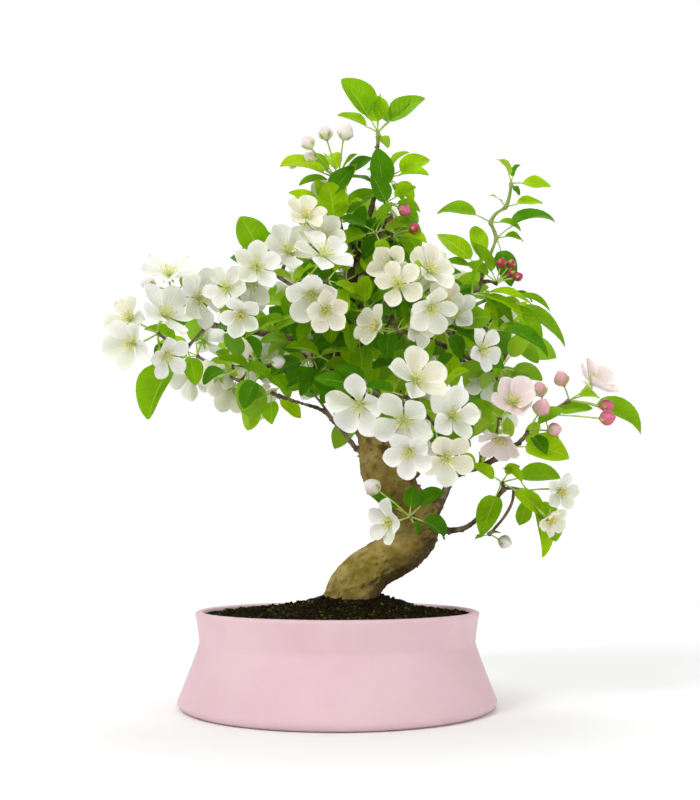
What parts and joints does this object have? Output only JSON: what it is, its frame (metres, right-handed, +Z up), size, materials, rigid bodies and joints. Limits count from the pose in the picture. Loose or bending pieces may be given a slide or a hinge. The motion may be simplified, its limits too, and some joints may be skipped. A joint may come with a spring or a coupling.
{
  "type": "apple blossom bonsai in a pot",
  "caption": "Apple blossom bonsai with a crooked tapering trunk and a flowering crown, standing in a round matte pink pot with a collar and a flared foot.",
  "frame": {"origin": "centre of the pot's flat underside", "axes": "+Z up along the pot's axis, and the crown's front faces -Y"},
  "size_m": [0.3398, 0.203, 0.4152],
  "materials": {
    "pink_ceramic": "matte",
    "earth": "rough",
    "bark": "rough",
    "blossom_and_leaf": "satin"
  },
  "bodies": {
    "root": {"pot": "pink_ceramic", "soil": "earth", "trunk": "bark", "bough_leader": "bark", "bough_top_left": "bark", "bough_top_right": "bark", "bough_upper_left": "bark", "bough_far_left": "bark", "bough_left": "bark", "bough_low_left": "bark", "bough_centre": "bark", "bough_front_low": "bark", "bough_right_high": "bark", "bough_right_fork": "bark", "bough_right_mid": "bark", "bough_right_inner": "bark", "bough_right_blossom": "bark", "bough_right_low": "bark", "bough_back_left": "bark", "bough_back_top": "bark", "bough_back_right": "bark", "bough_back_low": "bark", "bough_back_far_left": "bark", "bough_back_far_right": "bark", "foliage_top": "blossom_and_leaf", "foliage_top_left": "blossom_and_leaf", "foliage_top_right": "blossom_and_leaf", "foliage_upper_left": "blossom_and_leaf", "foliage_far_left": "blossom_and_leaf", "foliage_left": "blossom_and_leaf", "foliage_low_left": "blossom_and_leaf", "foliage_centre": "blossom_and_leaf", "foliage_front_low": "blossom_and_leaf", "foliage_right_top": "blossom_and_leaf", "foliage_right_mid": "blossom_and_leaf", "foliage_far_right": "blossom_and_leaf", "foliage_right_blossom": "blossom_and_leaf", "foliage_right_inner": "blossom_and_leaf", "foliage_right_low": "blossom_and_leaf", "foliage_trunk_spur": "blossom_and_leaf", "foliage_back_left": "blossom_and_leaf", "foliage_back_top": "blossom_and_leaf", "foliage_back_right": "blossom_and_leaf", "foliage_back_low": "blossom_and_leaf", "foliage_back_far_left": "blossom_and_leaf", "foliage_back_far_right": "blossom_and_leaf"}
  },
  "joints": []
}
